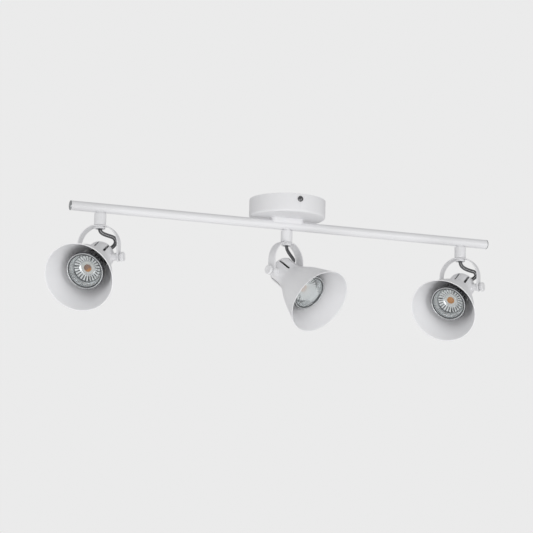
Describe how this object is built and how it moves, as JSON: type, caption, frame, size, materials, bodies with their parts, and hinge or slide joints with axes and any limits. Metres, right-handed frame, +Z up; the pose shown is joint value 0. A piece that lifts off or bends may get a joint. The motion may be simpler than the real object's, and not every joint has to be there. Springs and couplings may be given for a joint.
{
  "type": "ceiling spotlight bar",
  "caption": "White ceiling bar with a round canopy and swivelling bell-shaped spot heads on flat bows, each holding a twist-lock reflector lamp.",
  "frame": {"origin": "centre of the canopy on the ceiling plane, on the top face of the mounting plate", "axes": "+Z up into the ceiling along the canopy axis, +X along the bar, -Y towards the side that the heads look to"},
  "size_m": [0.6396, 0.1423, 0.1826],
  "materials": {
    "white_powder_coat": "satin",
    "chrome_plate": "polished",
    "zinc_steel": "satin",
    "terminal_plastic": "matte",
    "terminal_brass": "satin",
    "lead_sleeve": "matte",
    "bushing_rubber": "matte",
    "holder_ceramic": "matte",
    "bulb_aluminium": "satin",
    "bulb_glass": "gloss",
    "led_phosphor": "matte",
    "bulb_plastic": "satin"
  },
  "bodies": {
    "fixture": {"mounting_plate": "zinc_steel", "canopy": "white_powder_coat", "canopy_side_screws": "chrome_plate", "terminal_block": "terminal_plastic", "terminal_screws": "terminal_brass", "bar_nipple": "zinc_steel", "bar_nipple_nut": "zinc_steel", "bar_saddle": "white_powder_coat", "bar_tube": "white_powder_coat", "bar_end_caps": "chrome_plate", "internal_leads": "lead_sleeve", "stems": "white_powder_coat", "swivel_nipples": "zinc_steel", "swivel_washers": "white_powder_coat", "swivel_nuts": "white_powder_coat"},
    "left_swivel": {"left_bow": "white_powder_coat", "left_leads": "lead_sleeve"},
    "left_head": {"left_shade": "white_powder_coat", "left_rear_bushing": "bushing_rubber", "left_lamp_holder": "holder_ceramic", "left_holder_spacer": "zinc_steel", "left_pivot_bosses": "white_powder_coat"},
    "left_screw_inner": {"left_thumbscrew_inner": "white_powder_coat"},
    "left_screw_outer": {"left_thumbscrew_outer": "white_powder_coat"},
    "left_lamp": {"left_bulb_body": "bulb_aluminium", "left_bulb_rim": "chrome_plate", "left_bulb_lens": "bulb_glass", "left_bulb_led": "led_phosphor", "left_bulb_base": "bulb_plastic"},
    "centre_swivel": {"centre_bow": "white_powder_coat", "centre_leads": "lead_sleeve"},
    "centre_head": {"centre_shade": "white_powder_coat", "centre_rear_bushing": "bushing_rubber", "centre_lamp_holder": "holder_ceramic", "centre_holder_spacer": "zinc_steel", "centre_pivot_bosses": "white_powder_coat"},
    "centre_screw_inner": {"centre_thumbscrew_inner": "white_powder_coat"},
    "centre_screw_outer": {"centre_thumbscrew_outer": "white_powder_coat"},
    "centre_lamp": {"centre_bulb_body": "bulb_aluminium", "centre_bulb_rim": "chrome_plate", "centre_bulb_lens": "bulb_glass", "centre_bulb_led": "led_phosphor", "centre_bulb_base": "bulb_plastic"},
    "right_swivel": {"right_bow": "white_powder_coat", "right_leads": "lead_sleeve"},
    "right_head": {"right_shade": "white_powder_coat", "right_rear_bushing": "bushing_rubber", "right_lamp_holder": "holder_ceramic", "right_holder_spacer": "zinc_steel", "right_pivot_bosses": "white_powder_coat"},
    "right_screw_inner": {"right_thumbscrew_inner": "white_powder_coat"},
    "right_screw_outer": {"right_thumbscrew_outer": "white_powder_coat"},
    "right_lamp": {"right_bulb_body": "bulb_aluminium", "right_bulb_rim": "chrome_plate", "right_bulb_lens": "bulb_glass", "right_bulb_led": "led_phosphor", "right_bulb_base": "bulb_plastic"}
  },
  "joints": [
    {"name": "left_pan", "type": "hinge", "parent": "fixture", "child": "left_swivel", "pos_m": [-0.26, 0, -0.05815], "axis": [0, 0, 1], "range_deg": [-165, 165]},
    {"name": "left_tilt", "type": "hinge", "parent": "left_swivel", "child": "left_head", "pos_m": [-0.26, 0, -0.1004], "axis": [-0.8339, 0.5519, 0], "range_deg": [-90.5, 29.5], "deforming": ["left_leads"]},
    {"name": "left_screw_outer_turn", "type": "hinge", "parent": "left_head", "child": "left_screw_outer", "pos_m": [-0.23498, -0.01656, -0.1004], "axis": [0.8339, -0.5519, 0], "range_deg": [0, 90]},
    {"name": "left_screw_inner_turn", "type": "hinge", "parent": "left_head", "child": "left_screw_inner", "pos_m": [-0.28502, 0.01656, -0.1004], "axis": [-0.8339, 0.5519, 0], "range_deg": [0, 90]},
    {"name": "left_lamp_twist", "type": "hinge", "parent": "left_head", "child": "left_lamp", "pos_m": [-0.27441, -0.02177, -0.11517], "axis": [0.4804, 0.7258, 0.4924], "range_deg": [0, 20]},
    {"name": "centre_pan", "type": "hinge", "parent": "fixture", "child": "centre_swivel", "pos_m": [0, 0, -0.05815], "axis": [0, 0, 1], "range_deg": [-165, 165]},
    {"name": "centre_tilt", "type": "hinge", "parent": "centre_swivel", "child": "centre_head", "pos_m": [0, 0, -0.1004], "axis": [-0.891, -0.454, 0], "range_deg": [-85, 35], "deforming": ["centre_leads"]},
    {"name": "centre_screw_outer_turn", "type": "hinge", "parent": "centre_head", "child": "centre_screw_outer", "pos_m": [0.02673, 0.01362, -0.1004], "axis": [0.891, 0.454, 0], "range_deg": [0, 90]},
    {"name": "centre_screw_inner_turn", "type": "hinge", "parent": "centre_head", "child": "centre_screw_inner", "pos_m": [-0.02673, -0.01362, -0.1004], "axis": [-0.891, -0.454, 0], "range_deg": [0, 90]},
    {"name": "centre_lamp_twist", "type": "hinge", "parent": "centre_head", "child": "centre_lamp", "pos_m": [0.01116, -0.0219, -0.11761], "axis": [-0.3719, 0.7299, 0.5736], "range_deg": [0, 20]},
    {"name": "right_pan", "type": "hinge", "parent": "fixture", "child": "right_swivel", "pos_m": [0.26, 0, -0.05815], "axis": [0, 0, 1], "range_deg": [-165, 165]},
    {"name": "right_tilt", "type": "hinge", "parent": "right_swivel", "child": "right_head", "pos_m": [0.26, 0, -0.1004], "axis": [-0.7009, 0.7133, 0], "range_deg": [-87.5, 32.5], "deforming": ["right_leads"]},
    {"name": "right_screw_outer_turn", "type": "hinge", "parent": "right_head", "child": "right_screw_outer", "pos_m": [0.28103, -0.0214, -0.1004], "axis": [0.7009, -0.7133, 0], "range_deg": [0, 90]},
    {"name": "right_screw_inner_turn", "type": "hinge", "parent": "right_head", "child": "right_screw_inner", "pos_m": [0.23897, 0.0214, -0.1004], "axis": [-0.7009, 0.7133, 0], "range_deg": [0, 90]},
    {"name": "right_lamp_twist", "type": "hinge", "parent": "right_head", "child": "right_lamp", "pos_m": [0.24195, -0.01773, -0.11652], "axis": [0.6015, 0.5911, 0.5373], "range_deg": [0, 20]}
  ]
}
